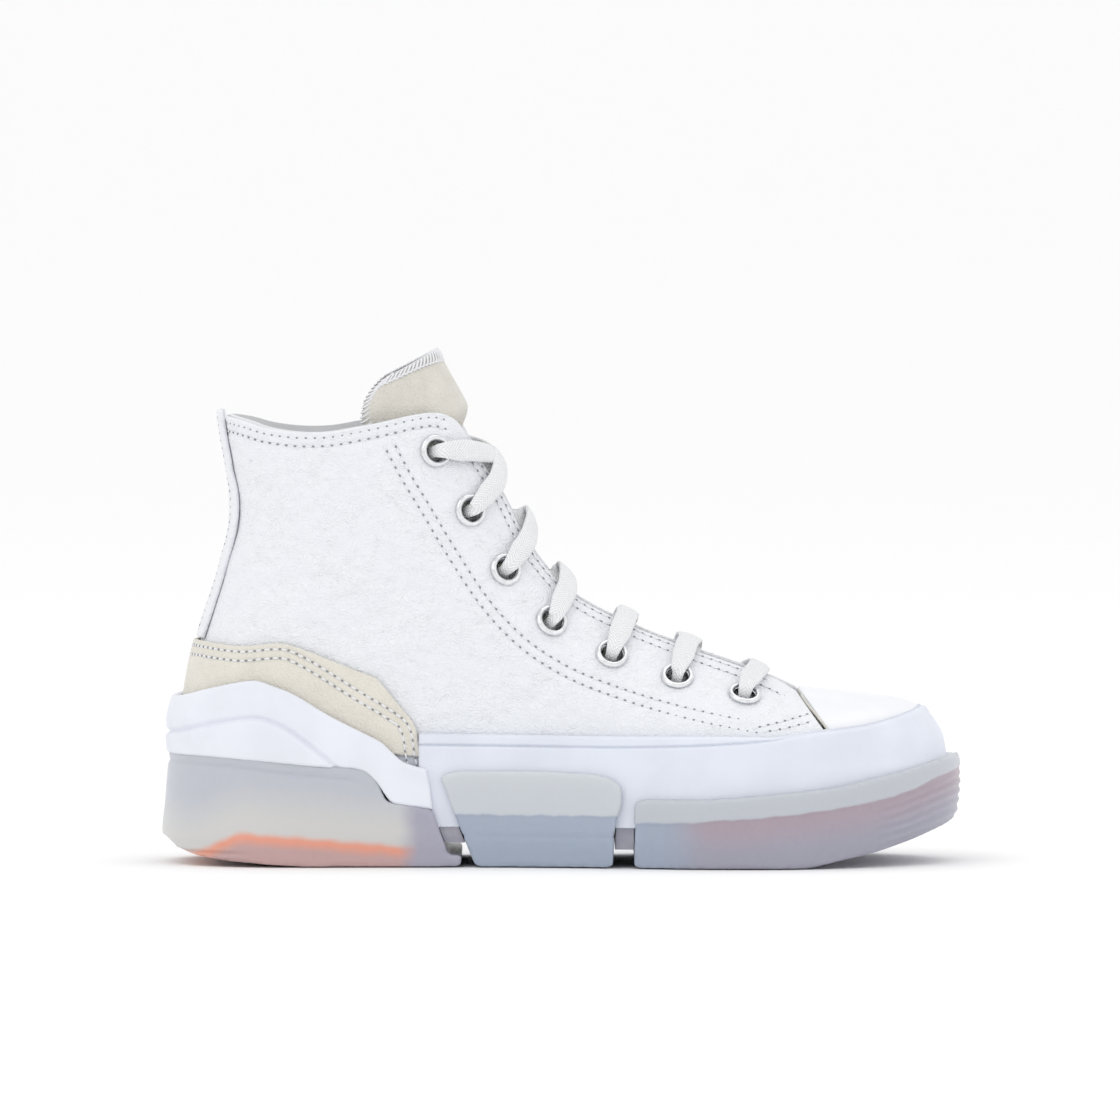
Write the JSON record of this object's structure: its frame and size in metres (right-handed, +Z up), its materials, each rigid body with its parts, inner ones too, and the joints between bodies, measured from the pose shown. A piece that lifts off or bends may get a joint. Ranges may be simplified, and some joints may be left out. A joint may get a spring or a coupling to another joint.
{
  "type": "basketball high top",
  "caption": "White leather high top shoe with a flat woven lace, suede tongue and heel overlay, foam foxing and a blocked translucent outsole.",
  "frame": {"origin": "on the ground, at the middle of the shoe's bounding box", "axes": "+X towards the toe, +Z up, +Y towards the inner side of this right shoe"},
  "size_m": [0.2736, 0.1026, 0.1751],
  "materials": {
    "leather": "soft full-grain white leather",
    "cap_leather": "smooth white leather",
    "suede": "beige suede",
    "foam": "satin white foam rubber",
    "clip_plastic": "satin white moulded plastic",
    "frosted_rubber": "frosted translucent rubber",
    "orange_cushion": "matt orange foam",
    "pink_cushion": "matt dusty pink foam",
    "lining_cloth": "woven white lining",
    "sock_cloth": "woven sockliner cover",
    "stiffener": "pressed fibre",
    "board": "cellulose board",
    "steel": "plain steel strip",
    "eyelet_metal": "nickel-plated",
    "lace_weave": "flat woven cotton",
    "tip_plastic": "clear white film"
  },
  "bodies": {
    "shoe": {"outsole_heel": "frosted_rubber", "outsole_midfoot": "frosted_rubber", "outsole_forefoot": "frosted_rubber", "outsole_bridge_rear": "frosted_rubber", "outsole_bridge_front": "frosted_rubber", "heel_cushion": "orange_cushion", "forefoot_cushion": "pink_cushion", "midsole": "foam", "heel_clip": "clip_plastic", "shank": "steel", "insole_board": "board", "quarter_lateral": "leather", "quarter_medial": "leather", "backstay": "leather", "heel_overlay": "suede", "toe_cap": "cap_leather", "vamp_underlay": "leather", "eyestay_lateral": "lining_cloth", "eyestay_medial": "lining_cloth", "heel_counter": "stiffener", "toe_puff": "stiffener", "lining_lateral": "lining_cloth", "lining_medial": "lining_cloth", "toe_lining": "lining_cloth", "lace": "lace_weave", "aglet_a": "tip_plastic", "aglet_b": "tip_plastic", "eyelet_lateral_1": "eyelet_metal", "eyelet_lateral_2": "eyelet_metal", "eyelet_lateral_3": "eyelet_metal", "eyelet_lateral_4": "eyelet_metal", "eyelet_lateral_5": "eyelet_metal", "eyelet_lateral_6": "eyelet_metal", "eyelet_lateral_7": "eyelet_metal", "eyelet_medial_1": "eyelet_metal", "eyelet_medial_2": "eyelet_metal", "eyelet_medial_3": "eyelet_metal", "eyelet_medial_4": "eyelet_metal", "eyelet_medial_5": "eyelet_metal", "eyelet_medial_6": "eyelet_metal", "eyelet_medial_7": "eyelet_metal"},
    "tongue": {"tongue_face": "suede", "tongue_foam": "foam", "tongue_lining": "lining_cloth"},
    "insole": {"insole": "sock_cloth"}
  },
  "joints": [
    {"name": "tongue_swing", "type": "hinge", "parent": "shoe", "child": "tongue", "pos_m": [0.079, 0, 0.055], "axis": [0, 1, 0], "range_deg": [-8, 0]},
    {"name": "insole_lift", "type": "hinge", "parent": "shoe", "child": "insole", "pos_m": [0.118, 0, 0.035], "axis": [0, 1, 0], "range_deg": [0, 5]}
  ]
}
